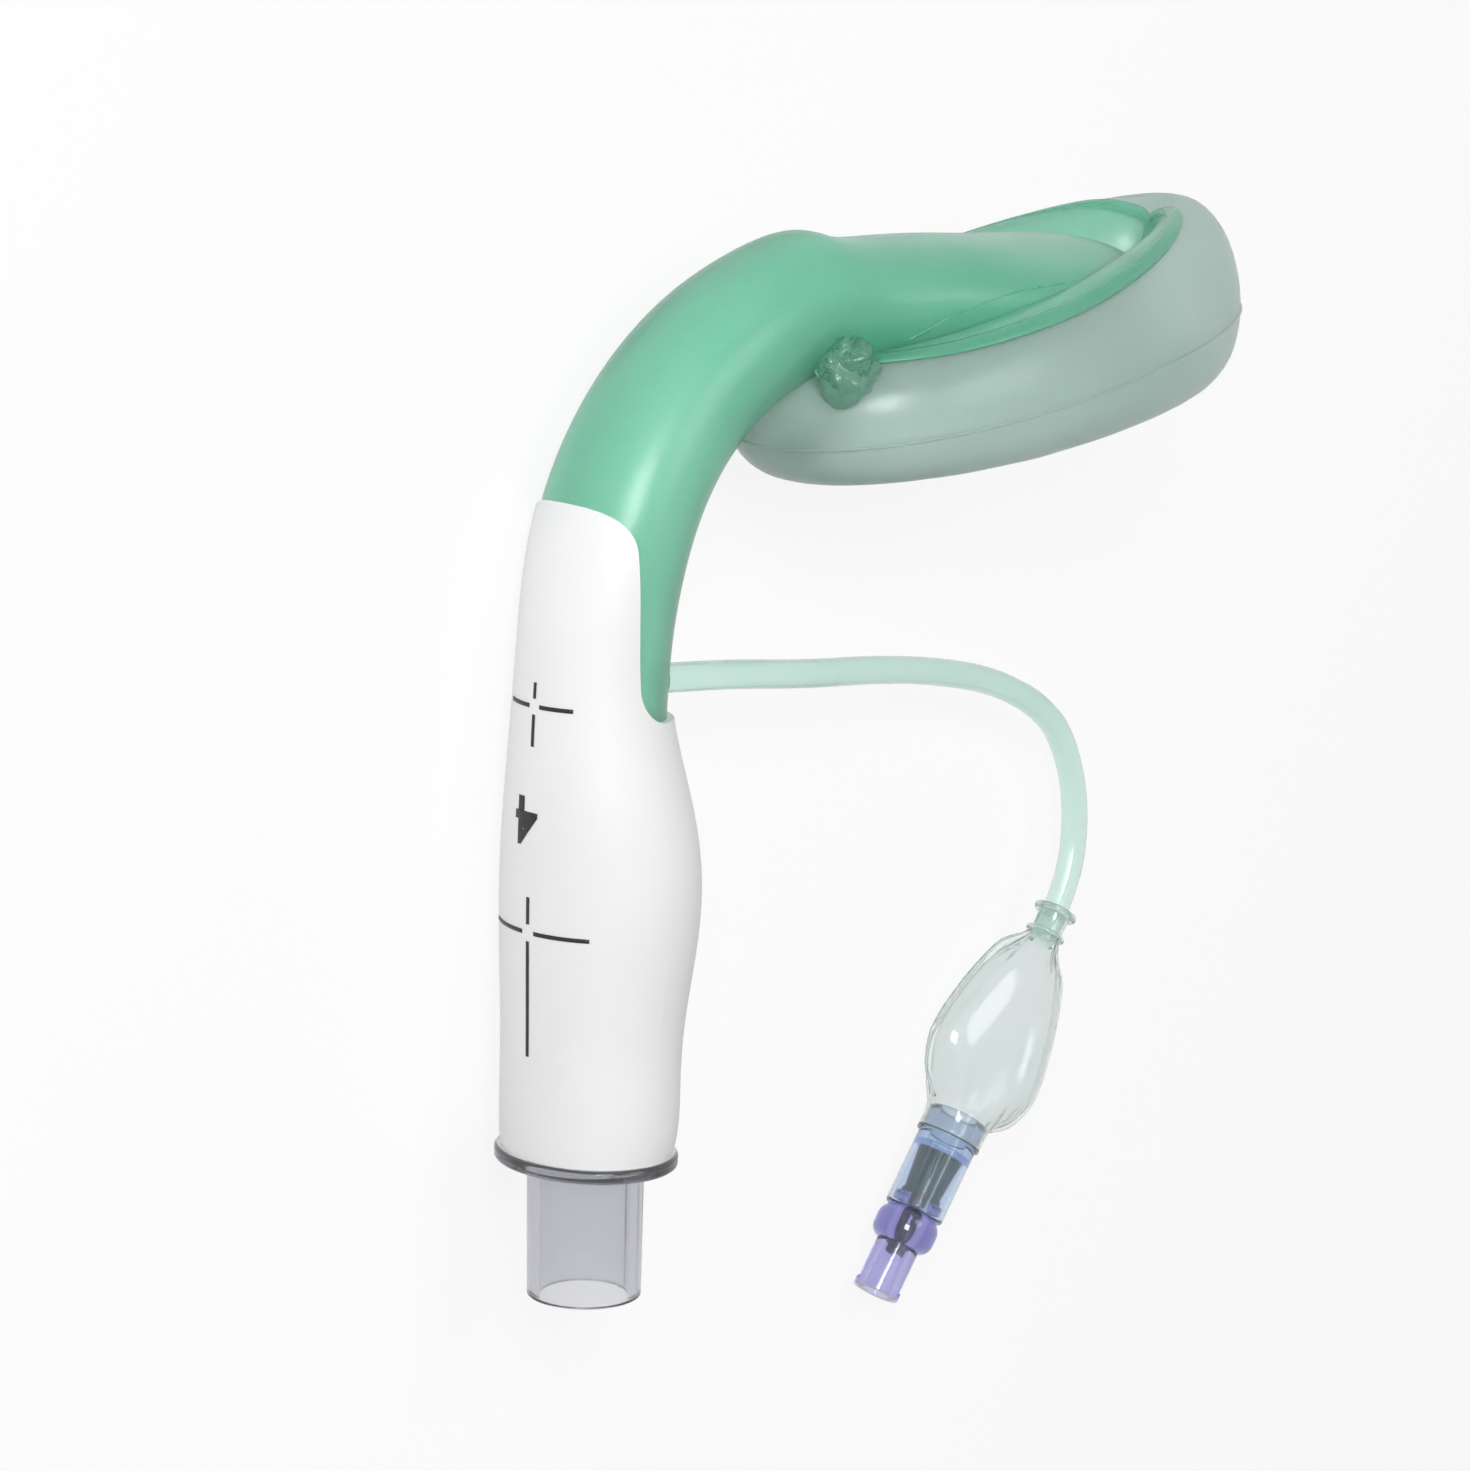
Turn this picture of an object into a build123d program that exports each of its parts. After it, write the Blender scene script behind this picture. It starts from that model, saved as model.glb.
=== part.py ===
from build123d import *
import math
import os

os.makedirs("parts", exist_ok=True)

# Laryngeal mask airway of adult size, lying on its left side. Millimetres, +Z up.
# The airway is drawn about its sagittal plane: X points ventrally, Y runs from the flange
# towards the mask, and Z points to the patient's right, which is upwards at rest.
# The pilot line, its balloon and its valve lie on the table in front of the tube.

# Rest on the table, touching at the housing's bulge and at the cuff
flange_centre = (-51.63, -50.22, 16.87)
rest_pitch = 4.65
rest_roll = 14.05

# Airway tube and its centre line
tube_half_width = 10.8
tube_half_depth = 9.7
tube_neck_width = 10.1
tube_neck_depth = 9.3
lumen_radius = 6.0
lumen_reach = 1.5
tube_start = 4.0
straight_length = 53.5
throat_radius = 138.0
throat_turn = 9.0
bend_radius = 41.0
bend_turn = 81.0

# Mask bowl, moulded in one with the tube
mask_angle = 80.0
dome_length = 57.0
dome_half_width = 16.8
bowl_wall = 2.2
bowl_half_width = 9.2
bowl_depth = 26.0

# Inflatable cuff
cuff_half_length = 44.5
cuff_half_width = 24.0
cuff_ring_half = 6.9
cuff_heel_height = 8.3
cuff_tip_height = 13.0
cuff_centre = 29.4
cuff_drop = 15.0
cuff_egg = 0.15
cuff_wall = 0.9
cuff_steps = 8

# Bite housing
housing_wall = 1.3
seat_half_width = 9.6
seat_half_depth = 8.9
seat_length = 8.0
flange_half_width = 12.4
flange_half_depth = 10.5
bulge_half_width = 14.0
bulge_dorsal = 10.8
bulge_ventral = 14.6
bulge_place = 36.0
neck_half_width = 10.9
neck_dorsal = 10.3
neck_ventral = 10.0
neck_place = 60.0
tongue_length = 83.6
tongue_side = -6.0
tongue_foot = -1.2
tongue_corner = 6.0
window_foot = 58.5
window_corner = 5.0

# Clear connector
spigot_radius = 7.2
spigot_length = 20.0
cone_end_radius = 7.6
cone_taper = 1 / 40
cone_length = 18.5
flange_thickness = 1.8
flange_overhang = 0.8
locating_rim = 2.2
press_gap = 0.05
rim_gap = 0.25

# Pilot line port in the front wall of the tube
port_place = 62.4
port_radius = 3.1
port_rise = 1.4
port_depth = 2.6
pilot_radius = 2.0
pilot_bore = 1.0
glue_gap = 0.05
channel_radius = 0.8
channel_drop = 0.6
rim_wall = 1.0

# Cuff inlet, a crimped boot between the tube's flank and the cuff
inlet_start = -15.0
inlet_end = -3.0
inlet_half_width = 2.9
inlet_half_depth = 3.2
inlet_drop = 6.6
inlet_side = 10.0

# Pilot line from the port to the balloon: places beside the port, heights above the table
route = [
    (35.8, -4.4, 17.4),
    (58.2, -7.8, 14.8),
    (81.8, -12.4, 11.8),
    (105.2, -18.2, 9.2),
    (125.6, -26.5, 7.4),
    (135.3, -35.2, 6.8),
    (139.0, -45.5, 7.4),
]
port_run = 14.0
neck_run = 4.0
tube_inside = 6.0
balloon_neck = (133.8, -59.4, 8.4)
balloon_heading = -125.0
balloon_dip = 3.6
balloon_roll = 20.0

# Pilot balloon, a welded pouch
neck_wall = 0.6
neck_sleeve = 4.5
pouch_half_width = 11.6
pouch_half_depth = 5.3
pouch_wall = 0.45
pouch_length = 40.0
weld_width = 1.3
weld_half = 0.35

# Check valve in the end of the balloon
barrel_start = 36.0
barrel_length = 16.5
barrel_radius = 4.65
chamber_radius = 3.9
shoulder_place = 5.6
shoulder_wall = 1.2
air_hole = 1.5
sleeve_radius = 3.0
port_spigot = 2.0
collar_radius = 4.9
collar_length = 5.5
luer_radius = 3.35
luer_length = 8.0
luer_rim = 3.6
luer_rim_length = 1.2
luer_mouth = 2.15
luer_taper = 6 / 100
luer_depth = 8.0
seat_wall = 1.2
stem_radius = 1.5
stem_gap = 0.08
stem_length = 9.0
stem_bore = 0.8
disc_radius = 3.2
disc_thickness = 0.9
rib_count = 12
rib_groove = 0.42
crown_foot = 2.9
crown_gap = 0.35

sagittal = Plane(Location(flange_centre, (-rest_pitch, -rest_roll, 0)))

throat_start = straight_length
bend_start = throat_start + throat_radius * math.radians(throat_turn)
bend_end = bend_start + bend_radius * math.radians(bend_turn)

with BuildLine(sagittal) as centre_line:
    trunk = Line((0, 0), (0, straight_length))
    throat = JernArc(trunk @ 1, trunk % 1, throat_radius, -throat_turn)
    bend = JernArc(throat @ 1, throat % 1, bend_radius, -bend_turn)

lateral = sagittal.z_dir
airway_axis = Axis(sagittal.origin, sagittal.y_dir)
mask_lean = math.radians(mask_angle)
mask_axis = sagittal.x_dir * math.sin(mask_lean) + sagittal.y_dir * math.cos(mask_lean)
mask_dorsal = lateral.cross(mask_axis)
mask_origin = bend @ 1


def across(distance):
    """Plane across the airway at a distance from the flange: X lateral, Y ventral."""
    for line, start in ((bend, bend_start), (throat, throat_start), (trunk, 0)):
        if distance >= start:
            t = (distance - start) / line.length
            return Plane(origin=line @ t, x_dir=lateral, z_dir=line % t)


def across_mask(distance):
    """Plane across the mask at a distance past the end of the bend, set like the others."""
    return Plane(origin=mask_origin + mask_axis * distance, x_dir=lateral, z_dir=mask_axis)


def beside(distance, ventral):
    """Point of the sagittal plane beside the centre line."""
    plane = across(distance)
    place = sagittal.to_local_coords(plane.origin + plane.y_dir * ventral)
    return (place.X, place.Y)


def oval_body(stations, grow=0.0):
    """Smooth body through ovals: plane, half width, dorsal depth and ventral depth."""
    with BuildPart() as body:
        for plane, half_width, dorsal, ventral in stations:
            with BuildSketch(plane):
                with Locations((0, (ventral - dorsal) / 2)):
                    Ellipse(half_width + grow, (ventral + dorsal) / 2 + grow)
        loft()
    return body.part


def ring_plane(turn):
    """Plane across the cuff ring: X towards the outside, Y dorsal."""
    length = cuff_half_length - cuff_ring_half
    width = cuff_half_width - cuff_ring_half
    swell = 1 - cuff_egg * math.cos(turn)
    centre = mask_origin + mask_axis * (cuff_centre + length * math.cos(turn))
    centre = centre - mask_dorsal * cuff_drop + lateral * (width * swell * math.sin(turn))
    forward = mask_axis * (-length * math.sin(turn))
    forward = forward + lateral * (width * (swell * math.cos(turn) + cuff_egg * math.sin(turn) ** 2))
    return Plane(origin=centre, x_dir=forward.cross(mask_dorsal), z_dir=forward)


def ring_half_height(turn):
    return cuff_heel_height + (cuff_tip_height - cuff_heel_height) * (1 + math.cos(turn)) / 2


def cuff_ring(inset):
    """Closed cuff ring, its surface moved inwards."""
    with BuildPart() as ring:
        for step in range(cuff_steps + 1):
            turn = math.pi * step / cuff_steps
            with BuildSketch(ring_plane(turn)):
                Ellipse(cuff_ring_half - inset, ring_half_height(turn) - inset)
        loft()
        mirror(about=sagittal)
    return ring.part


cuff_form = cuff_ring(0)

port_centre = across(port_place)
port_plane = Plane(
    origin=port_centre.origin + port_centre.y_dir * tube_neck_depth, x_dir=lateral, z_dir=port_centre.y_dir
)

# Outer form of the bite housing, with its tongue along the back of the tube
flange_oval = (flange_half_width, flange_half_depth, flange_half_depth)
bulge_oval = (bulge_half_width, bulge_dorsal, bulge_ventral)
neck_oval = (neck_half_width, neck_dorsal, neck_ventral)


def between(first, second, share):
    """Oval part of the way from one oval to another."""
    return tuple(a + (b - a) * share for a, b in zip(first, second))


housing_stations = [
    (across(0), *flange_oval),
    (across(bulge_place / 3), *between(flange_oval, bulge_oval, 0.3)),
    (across(bulge_place * 2 / 3), *between(flange_oval, bulge_oval, 0.7)),
    (across(bulge_place), *bulge_oval),
    (across((bulge_place + neck_place) / 2), *between(bulge_oval, neck_oval, 0.4)),
    (across(neck_place), *neck_oval),
    (across(neck_place + 13), *neck_oval),
    (across(tongue_length + 3), *neck_oval),
]
with BuildPart() as housing_form:
    add(oval_body(housing_stations))
    with BuildSketch(sagittal) as window:
        with BuildLine():
            edge = FilletPolyline(
                beside(window_foot, 20),
                beside(window_foot, tongue_foot),
                beside(tongue_length, tongue_side),
                beside(tongue_length, -20),
                radius=[window_corner, tongue_corner],
            )
            Polyline(edge @ 1, beside(tongue_length + 20, -20), beside(tongue_length + 20, 30), edge @ 0)
        make_face()
    extrude(amount=20, both=True, mode=Mode.SUBTRACT)

# Slimmer part of the tube that the housing is pushed over
with BuildPart() as tube_core:
    with BuildSketch(across(tube_start)):
        Ellipse(seat_half_width, seat_half_depth)
    with BuildLine(sagittal) as core_line:
        Line((0, tube_start), (0, straight_length))
        add(throat)
        core_turn = math.degrees((tongue_length + 3 - bend_start) / bend_radius)
        JernArc(throat @ 1, throat % 1, bend_radius, -core_turn)
    sweep()

# Airway tube and mask bowl in one moulding, with the pilot line's port
with BuildPart() as airway_tube:
    neck = (tube_neck_width, tube_neck_depth, tube_neck_depth)
    tube = (tube_half_width, tube_half_depth, tube_half_depth)
    neck_stations = [(across(neck_place + 6 * step), *neck) for step in (-1, 0, 1)]
    tube_step = (bend_end - tongue_length) / 5.5
    tube_stations = [(across(tongue_length + tube_step * step), *tube) for step in range(6)]
    dome_stations = [
        (across_mask(0), 11.4, 8.6, 9.8),
        (across_mask(10), 13.4, 6.0, 11.0),
        (across_mask(21), 15.8, 3.6, 13.4),
        (across_mask(33), dome_half_width, 0.6, 15.0),
        (across_mask(44), 14.4, -2.0, 15.6),
        (across_mask(52), 10.0, -5.6, 15.6),
        (across_mask(dome_length), 5.0, -8.6, 15.0),
    ]
    add(oval_body(neck_stations + tube_stations + dome_stations))
    add(housing_form.part, mode=Mode.SUBTRACT)
    add(tube_core.part)
    with BuildSketch(across(tube_start)):
        Circle(lumen_radius)
    with BuildLine(sagittal) as lumen_line:
        Line((0, tube_start), (0, straight_length))
        add(throat)
        add(bend)
        Line(bend @ 1, bend @ 1 + bend % 1 * lumen_reach)
    sweep(mode=Mode.SUBTRACT)
    with BuildSketch(across(tube_start)):
        Circle(spigot_radius + press_gap)
    extrude(amount=spigot_length - tube_start, mode=Mode.SUBTRACT)
    bowl_stations = [
        (across_mask(-4), lumen_radius - 0.8, lumen_radius - 0.8, lumen_radius - 0.8),
        (across_mask(5), 7.0, 5.6, 10.0),
        (across_mask(14), 8.6, 3.0, 19.0),
        (across_mask(24), bowl_half_width, 0.4, bowl_depth),
        (across_mask(34), bowl_half_width, -1.8, bowl_depth),
        (across_mask(46), 7.4, -4.8, bowl_depth),
        (across_mask(dome_length - bowl_wall), 3.0, -10.0, bowl_depth),
    ]
    add(oval_body(bowl_stations), mode=Mode.SUBTRACT)
    add(cuff_form, mode=Mode.SUBTRACT)
    with BuildSketch(port_plane):
        Circle(port_radius)
    extrude(amount=port_rise)
    with BuildSketch(port_plane.offset(port_rise)):
        Circle(pilot_radius + glue_gap)
    extrude(amount=-port_depth, mode=Mode.SUBTRACT)
    with BuildSketch(port_plane.offset(port_rise - port_depth)):
        Circle(channel_radius)
    extrude(amount=-channel_drop, mode=Mode.SUBTRACT)

# Thin-walled housing round the tube, closed on it at the neck
with BuildPart() as housing_cavity:
    add(oval_body(housing_stations, -housing_wall))
    split(bisect_by=across(neck_place - seat_length), keep=Keep.BOTTOM)

with BuildPart() as bite_housing:
    add(housing_form.part)
    add(housing_cavity.part, mode=Mode.SUBTRACT)
    add(tube_core.part, mode=Mode.SUBTRACT)
    with BuildSketch(across(0)):
        Ellipse(seat_half_width, seat_half_depth)
    extrude(amount=tube_start, mode=Mode.SUBTRACT)

# Connector: 15 mm cone, oval flange, rim inside the housing and spigot in the tube
with BuildPart() as airway_connector:
    with BuildSketch(across(0)):
        Ellipse(flange_half_width + flange_overhang, flange_half_depth + flange_overhang)
    extrude(amount=-flange_thickness)
    rounded = airway_connector.edges().filter_by(GeomType.ELLIPSE)
    fillet(rounded, 0.5)
    with BuildSketch(across(0)):
        Ellipse(flange_half_width - housing_wall - rim_gap, flange_half_depth - housing_wall - rim_gap)
        Ellipse(
            flange_half_width - housing_wall - rim_gap - rim_wall,
            flange_half_depth - housing_wall - rim_gap - rim_wall,
            mode=Mode.SUBTRACT,
        )
    extrude(amount=locating_rim)
    with BuildSketch(sagittal):
        with BuildLine():
            Polyline(
                (0, spigot_length), (spigot_radius, spigot_length), (spigot_radius, -flange_thickness),
                (cone_end_radius + cone_length * cone_taper / 2, -flange_thickness),
                (cone_end_radius, -flange_thickness - cone_length), (0, -flange_thickness - cone_length),
                (0, spigot_length),
            )
        make_face()
    revolve(axis=airway_axis)
    with BuildSketch(across(spigot_length)):
        Circle(lumen_radius)
    extrude(amount=-spigot_length - flange_thickness - cone_length, mode=Mode.SUBTRACT)
    cone_end = airway_connector.edges().group_by(airway_axis)[0]
    fillet(cone_end, 0.35)
    spigot_end = airway_connector.edges().group_by(airway_axis)[-1]
    chamfer(spigot_end.sort_by(SortBy.LENGTH)[-1], 0.5)

# Inlet between the bowl's flank and the cuff, with its air channel
inlet_centre = mask_origin + mask_axis * (inlet_start + inlet_end) / 2
inlet_centre = inlet_centre - mask_dorsal * inlet_drop + lateral * inlet_side
inlet_way = Plane(origin=inlet_centre, x_dir=mask_axis, z_dir=-mask_dorsal)


def inlet_station(share, swell):
    """Oval across the inlet at a share of its length."""
    plane = across_mask(inlet_start + (inlet_end - inlet_start) * share)
    plane.origin = plane.origin - mask_dorsal * inlet_drop + lateral * inlet_side
    return (plane, inlet_half_width * swell, inlet_half_depth * swell, inlet_half_depth * swell)


with BuildPart() as cuff_inlet:
    inlet_shares = ((0, 0.45), (0.35, 1), (0.7, 0.95), (1, 0.4))
    add(oval_body([inlet_station(*share) for share in inlet_shares]))
    add(airway_tube.part, mode=Mode.SUBTRACT)
    add(cuff_form, mode=Mode.SUBTRACT)
    with BuildSketch(inlet_way):
        Circle(channel_radius)
    extrude(amount=10, mode=Mode.SUBTRACT)

with BuildPart() as cuff:
    add(cuff_form)
    add(cuff_ring(cuff_wall), mode=Mode.SUBTRACT)
    with BuildSketch(inlet_way):
        Circle(channel_radius)
    extrude(amount=6, mode=Mode.SUBTRACT)

# Balloon and valve lie along one line that dips towards the luer port
port_floor = Vector(port_plane.origin.X, port_plane.origin.Y, 0)
neck_place_on_table = port_floor + Vector(*balloon_neck)
heading = math.radians(balloon_heading)
dip = math.radians(balloon_dip)
valve_dir = Vector(math.cos(heading) * math.cos(dip), math.sin(heading) * math.cos(dip), -math.sin(dip))
level_side = valve_dir.cross(Vector(0, 0, 1)).normalized()


def along(distance, roll=0.0):
    """Plane across the balloon and valve at a distance from the balloon's neck."""
    side = level_side.rotate(Axis((0, 0, 0), valve_dir), roll)
    return Plane(origin=neck_place_on_table + valve_dir * distance, x_dir=side, z_dir=valve_dir)


valve_axis = Axis(neck_place_on_table, valve_dir)
valve_side = Plane(origin=along(barrel_start).origin, x_dir=level_side, z_dir=level_side.cross(valve_dir))

# Pilot line, a free tube that leaves the port and lies on the table
cord_start = port_plane.origin + port_plane.z_dir * (port_rise - port_depth)
cord_points = [cord_start, cord_start + port_plane.z_dir * port_run]
cord_points += [port_floor + Vector(*point) for point in route]
cord_points += [along(-neck_run).origin, along(tube_inside).origin]
cord_runs = [(b - a).length for a, b in zip(cord_points, cord_points[1:])]
cord_turns = [
    (b - a).get_angle(c - b) for a, b, c in zip(cord_points, cord_points[1:], cord_points[2:])
]
cord_radii = [
    0.45 * min(before, after) / math.tan(math.radians(turn) / 2)
    for before, after, turn in zip(cord_runs, cord_runs[1:], cord_turns)
]

with BuildPart() as pilot_tube:
    with BuildLine() as cord_line:
        cord_path = FilletPolyline(*cord_points, radius=cord_radii)
    with BuildSketch(Plane(origin=cord_start, z_dir=port_plane.z_dir)):
        Circle(pilot_radius)
        Circle(pilot_bore, mode=Mode.SUBTRACT)
    sweep()
cord_section = math.pi * (pilot_radius**2 - pilot_bore**2)
print("pilot line runs", [round(run, 1) for run in cord_runs])
print("pilot line radii", [round(radius, 1) for radius in cord_radii])
print("pilot line length", round(cord_path.length, 1))
cord_volume = cord_section * cord_path.length
print("pilot line volume", round(pilot_tube.part.volume, 1), "against", round(cord_volume, 1))

pouch_shares = [
    (0.0, pilot_radius + neck_wall, pilot_radius + neck_wall),
    (neck_sleeve, pilot_radius + neck_wall, pilot_radius + neck_wall),
    (pouch_length * 0.26, pouch_half_width * 0.62, pouch_half_depth * 0.78),
    (pouch_length * 0.46, pouch_half_width * 0.88, pouch_half_depth * 0.95),
    (pouch_length * 0.68, pouch_half_width, pouch_half_depth),
    (pouch_length * 0.82, pouch_half_width * 0.8, pouch_half_depth),
    (barrel_start + 0.4, barrel_radius + pouch_wall + 0.3, barrel_radius + pouch_wall),
    (pouch_length, barrel_radius + pouch_wall, barrel_radius + pouch_wall),
]

# Pouch welded from two sheets, with a sleeve at each end
with BuildPart() as pilot_balloon:
    add(oval_body([(along(place, balloon_roll), wide, deep, deep) for place, wide, deep in pouch_shares]))
    weld = [
        (along(place, balloon_roll), wide + weld_width, weld_half, weld_half)
        for place, wide, deep in pouch_shares[2:6]
    ]
    weld_ends = [
        (along(pouch_length * 0.12, balloon_roll), pilot_radius, weld_half, weld_half),
        (along(pouch_length * 0.93, balloon_roll), barrel_radius, weld_half, weld_half),
    ]
    add(oval_body(weld_ends[:1] + weld + weld_ends[1:]))
    inner = [(along(neck_sleeve, balloon_roll), pilot_radius, pilot_radius, pilot_radius)]
    inner += [
        (along(place, balloon_roll), wide - pouch_wall, deep - pouch_wall, deep - pouch_wall)
        for place, wide, deep in pouch_shares[2:6]
    ]
    inner += [(along(barrel_start, balloon_roll), barrel_radius, barrel_radius, barrel_radius)]
    add(oval_body(inner), mode=Mode.SUBTRACT)
    with BuildSketch(along(0)):
        Circle(pilot_radius + glue_gap)
    extrude(amount=neck_sleeve + 1, mode=Mode.SUBTRACT)
    with BuildSketch(along(barrel_start - 1)):
        Circle(barrel_radius + glue_gap)
    extrude(amount=pouch_length - barrel_start + 1, mode=Mode.SUBTRACT)

# Check valve: the crown presses the stem's disc against the seat in the luer port
shoulder_end = shoulder_place + shoulder_wall
with BuildPart() as valve_barrel:
    with BuildSketch(valve_side):
        with BuildLine():
            Polyline(
                (sleeve_radius, 0), (barrel_radius, 0), (barrel_radius, barrel_length),
                (chamber_radius, barrel_length), (chamber_radius, shoulder_end), (air_hole, shoulder_end),
                (air_hole, shoulder_place), (sleeve_radius, shoulder_place), (sleeve_radius, 0),
            )
        make_face()
    revolve(axis=valve_axis)
    barrel_ends = valve_barrel.edges().filter_by(GeomType.CIRCLE).sort_by(SortBy.RADIUS)
    outer_edges = barrel_ends.filter_by(lambda edge: edge.radius > chamber_radius + 0.1)
    fillet(outer_edges.sort_by(valve_axis)[-1], 0.5)
    chamfer(outer_edges.sort_by(valve_axis)[0], 0.3)

seat_top = barrel_length - port_spigot
collar_end = barrel_length + collar_length
luer_end = collar_end + luer_length
luer_throat = luer_mouth - luer_depth * luer_taper / 2
with BuildPart() as luer_port:
    with BuildSketch(valve_side):
        with BuildLine():
            Polyline(
                (stem_radius + stem_gap, seat_top), (chamber_radius - glue_gap, seat_top),
                (chamber_radius - glue_gap, barrel_length), (luer_radius, barrel_length),
            )
            Spline(
                (luer_radius, barrel_length), (collar_radius, barrel_length + collar_length / 2),
                (luer_radius, collar_end), tangents=((1, 0.35), (-1, 0.35)),
            )
            Polyline(
                (luer_radius, collar_end), (luer_radius, luer_end - luer_rim_length),
                (luer_rim, luer_end - luer_rim_length), (luer_rim, luer_end), (luer_mouth, luer_end),
                (luer_throat, luer_end - luer_depth), (luer_throat, seat_top + seat_wall),
                (stem_radius + stem_gap, seat_top + seat_wall), (stem_radius + stem_gap, seat_top),
            )
        make_face()
    revolve(axis=valve_axis)

with BuildPart() as valve_stem:
    with BuildSketch(along(barrel_start + seat_top)):
        Circle(disc_radius)
    extrude(amount=-disc_thickness)
    with BuildSketch(along(barrel_start + seat_top)):
        Circle(stem_radius)
    extrude(amount=stem_length)
    with BuildSketch(along(barrel_start + seat_top + stem_length)):
        Circle(stem_bore)
    extrude(amount=2 - stem_length, mode=Mode.SUBTRACT)
    with BuildSketch(along(barrel_start + seat_top + stem_length)):
        Rectangle(2 * stem_radius + 1, 2 * stem_bore)
    extrude(amount=-1.2, mode=Mode.SUBTRACT)

with BuildPart() as valve_spring:
    crown_head = chamber_radius - crown_gap
    crown_top = barrel_start + shoulder_end
    crown_height = seat_top - disc_thickness - shoulder_end
    with BuildSketch(along(crown_top)):
        Circle(crown_head)
    with BuildSketch(along(crown_top + crown_height)):
        Circle(crown_foot)
    loft()
    with BuildSketch(along(crown_top)):
        with PolarLocations(crown_head, rib_count):
            Circle(rib_groove)
    extrude(amount=crown_height * 0.85, mode=Mode.SUBTRACT)
    with BuildSketch(along(crown_top)):
        Circle(air_hole)
    extrude(amount=crown_height * 0.6, mode=Mode.SUBTRACT)

airway_connector.part.label = "airway_connector"
export_step(airway_connector.part, "parts/airway_connector.step")
airway_tube.part.label = "airway_tube"
export_step(airway_tube.part, "parts/airway_tube.step")
bite_housing.part.label = "bite_housing"
export_step(bite_housing.part, "parts/bite_housing.step")
cuff.part.label = "cuff"
export_step(cuff.part, "parts/cuff.step")
cuff_inlet.part.label = "cuff_inlet"
export_step(cuff_inlet.part, "parts/cuff_inlet.step")
pilot_tube.part.label = "pilot_tube"
export_step(pilot_tube.part, "parts/pilot_tube.step")
pilot_balloon.part.label = "pilot_balloon"
export_step(pilot_balloon.part, "parts/pilot_balloon.step")
valve_barrel.part.label = "valve_barrel"
export_step(valve_barrel.part, "parts/valve_barrel.step")
luer_port.part.label = "luer_port"
export_step(luer_port.part, "parts/luer_port.step")
valve_stem.part.label = "valve_stem"
export_step(valve_stem.part, "parts/valve_stem.step")
valve_spring.part.label = "valve_spring"
export_step(valve_spring.part, "parts/valve_spring.step")
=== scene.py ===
import math

import bmesh
import bpy
from mathutils import Matrix, Vector, noise
from mathutils.bvhtree import BVHTree


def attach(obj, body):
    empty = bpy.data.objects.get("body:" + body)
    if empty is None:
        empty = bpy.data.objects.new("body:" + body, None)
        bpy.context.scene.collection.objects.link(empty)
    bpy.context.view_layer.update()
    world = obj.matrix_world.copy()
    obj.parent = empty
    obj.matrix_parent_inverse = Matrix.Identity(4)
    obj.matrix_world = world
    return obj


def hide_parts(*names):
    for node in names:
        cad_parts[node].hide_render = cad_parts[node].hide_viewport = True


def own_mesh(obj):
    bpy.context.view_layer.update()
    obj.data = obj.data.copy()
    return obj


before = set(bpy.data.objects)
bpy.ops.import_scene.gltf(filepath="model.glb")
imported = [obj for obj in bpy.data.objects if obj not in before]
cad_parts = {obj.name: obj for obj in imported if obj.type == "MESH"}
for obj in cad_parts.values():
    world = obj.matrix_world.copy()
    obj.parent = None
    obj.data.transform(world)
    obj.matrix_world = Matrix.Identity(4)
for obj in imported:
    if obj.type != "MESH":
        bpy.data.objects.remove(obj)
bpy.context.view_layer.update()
mm = 0.001


def addObject(name, data):
    made = bpy.data.objects.new(name, data)
    bpy.context.scene.collection.objects.link(made)
    return made


# Camera: the photograph's framing, looking down on the table
cameraSet = {
    "place": (-0.6477, 0.18718, 0.39287),
    "right": (0.53282, 0.08787, 0.84165),
    "up": (0.16412, 0.96498, -0.20465),
    "lens": 137.26,
}
camera = addObject("photoCamera", bpy.data.cameras.new("photoCamera"))
right, up = Vector(cameraSet["right"]).normalized(), Vector(cameraSet["up"]).normalized()
back = right.cross(up).normalized()
up = back.cross(right)
turn = Matrix((right, up, back)).transposed().to_4x4()
camera.matrix_world = Matrix.Translation(cameraSet["place"]) @ turn
camera.data.sensor_fit = "HORIZONTAL"
camera.data.sensor_width = 36
camera.data.lens = cameraSet["lens"]
camera.data.clip_start, camera.data.clip_end = 0.01, 20
bpy.context.scene.camera = camera
print("camera set")


class Value:  # one output socket, so that sums on it read plainly
    def __init__(self, finish, socket):
        self.finish, self.socket = finish, socket

    def calc(self, operation, first, second):
        return self.finish.node("ShaderNodeMath", {"operation": operation}, {0: first, 1: second})

    def __add__(self, other):
        return self.calc("ADD", self, other)

    def __mul__(self, other):
        return self.calc("MULTIPLY", self, other)

    def top(self, other):
        return self.calc("MAXIMUM", self, other)

    __radd__, __rmul__ = __add__, __mul__


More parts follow.
